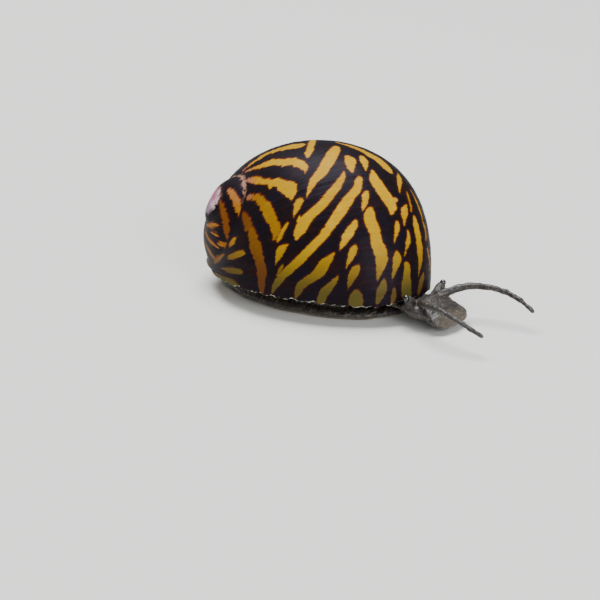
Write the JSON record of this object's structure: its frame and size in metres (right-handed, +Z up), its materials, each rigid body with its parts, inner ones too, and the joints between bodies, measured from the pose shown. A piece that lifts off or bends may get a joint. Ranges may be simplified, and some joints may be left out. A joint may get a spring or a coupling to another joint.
{
  "type": "nerite snail",
  "caption": "Crawling snail with a low, glossy, tiger-striped coiled shell over a flat foot, with its head and long thin tentacles reaching out in front.",
  "frame": {"origin": "centre of the bounding box, on the floor plane that the sole lies on", "axes": "+X the way the animal heads, +Y its left side, +Z up"},
  "size_m": [0.0356, 0.0182, 0.0149],
  "materials": {
    "shell": "polished shell, near-black purple brown with gold stripes",
    "worn_shell": "worn chalky tip, pinkish white to lilac",
    "callus": "smooth porcelain-like cream",
    "flesh": "moist, dark grey-brown flesh with fine dark lines",
    "operculum": "hard lid with fine growth lines",
    "eye": "wet black bead"
  },
  "bodies": {
    "root": {"shell_body_whorl": "shell", "shell_spire": "shell", "shell_apex": "worn_shell", "shell_deck": "callus", "mantle": "flesh", "foot_tail": "flesh", "foot_middle": "flesh", "foot_front": "flesh", "operculum": "operculum", "neck": "flesh", "head": "flesh", "snout": "flesh", "tentacle_left_root": "flesh", "tentacle_left_middle": "flesh", "tentacle_left_tip": "flesh", "eye_stalk_left": "flesh", "eye_left": "eye", "tentacle_right_root": "flesh", "tentacle_right_middle": "flesh", "tentacle_right_tip": "flesh", "eye_stalk_right": "flesh", "eye_right": "eye"}
  },
  "joints": []
}
